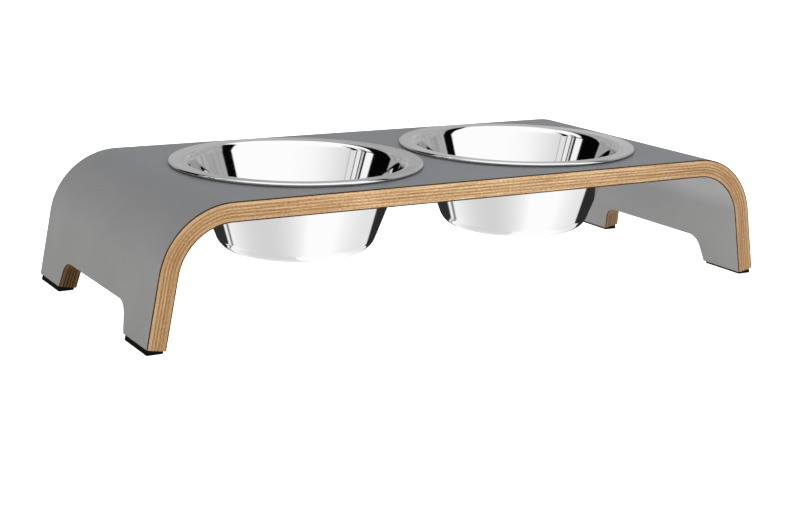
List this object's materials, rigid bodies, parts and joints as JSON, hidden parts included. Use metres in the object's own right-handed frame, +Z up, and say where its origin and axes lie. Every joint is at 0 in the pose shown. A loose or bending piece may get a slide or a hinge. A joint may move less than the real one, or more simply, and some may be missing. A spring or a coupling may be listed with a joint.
{
  "type": "double dog bowl stand",
  "caption": "Low moulded-plywood bridge with grey laminate faces that hangs steel feeding bowls by their rims, on splayed, notched legs with rubber foot pads.",
  "frame": {"origin": "on the floor under the middle of the stand", "axes": "+X along the pair of bowls, +Y from front to back, +Z up"},
  "size_m": [0.5998, 0.25, 0.1154],
  "materials": {
    "grey_laminate": "fine matt",
    "beech_plywood": "sanded and oiled",
    "black_rubber": "moulded matt",
    "polished_steel": "mirror polished"
  },
  "bodies": {
    "stand": {"outer_laminate": "grey_laminate", "plywood_core": "beech_plywood", "inner_laminate": "grey_laminate", "front_left_foot_pad": "black_rubber", "front_right_foot_pad": "black_rubber", "rear_left_foot_pad": "black_rubber", "rear_right_foot_pad": "black_rubber"},
    "left_bowl": {"left_bowl": "polished_steel"},
    "right_bowl": {"right_bowl": "polished_steel"}
  },
  "joints": [
    {"name": "left_bowl_lift", "type": "slide", "parent": "stand", "child": "left_bowl", "axis": [0, 0, 1], "range_m": [0, 0.09]},
    {"name": "right_bowl_lift", "type": "slide", "parent": "stand", "child": "right_bowl", "axis": [0, 0, 1], "range_m": [0, 0.09]}
  ]
}
